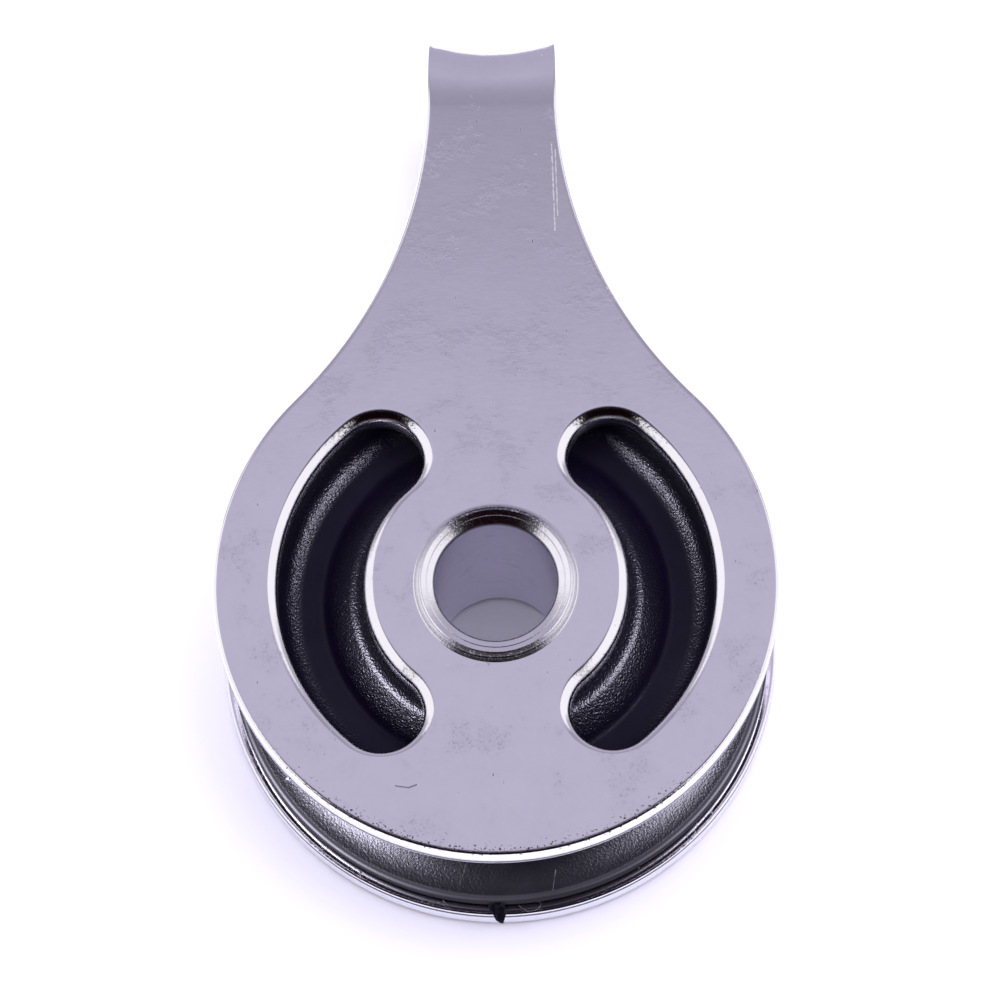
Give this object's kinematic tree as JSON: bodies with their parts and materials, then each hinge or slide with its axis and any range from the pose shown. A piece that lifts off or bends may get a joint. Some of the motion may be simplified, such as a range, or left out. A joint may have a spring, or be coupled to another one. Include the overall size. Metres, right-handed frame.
{
  "type": "pulley block",
  "caption": "Small single-sheave strap block: a bright folded steel strap with kidney windows, a grooved black nylon sheave on a hollow rivet, and a loop for a shackle or lashing.",
  "frame": {"origin": "on the surface the block lies on (the plane of the rear rivet end), under the middle of its outline", "axes": "+X to the right across the cheeks, +Y along the strap to the folded loop, +Z along the axle from the rear cheek to the front cheek"},
  "size_m": [0.028, 0.0456, 0.013],
  "materials": {
    "strap_steel": "bright plated, smooth with fine handling marks, soft rounded edges",
    "rivet_steel": "bright plated, rolled ends with fine turning marks",
    "sleeve_brass": "plain turned, unpolished",
    "sheave_nylon": "black moulded nylon, fine pebble grain, smooth dish floor"
  },
  "bodies": {
    "shell": {"strap": "strap_steel", "hollow_rivet": "rivet_steel", "spacer_sleeve": "sleeve_brass"},
    "wheel": {"sheave": "sheave_nylon"}
  },
  "joints": [
    {"name": "sheave_spin", "type": "hinge", "parent": "shell", "child": "wheel", "pos_m": [0, -0.00885, 0.0065], "axis": [0, 0, 1], "continuous": true}
  ]
}
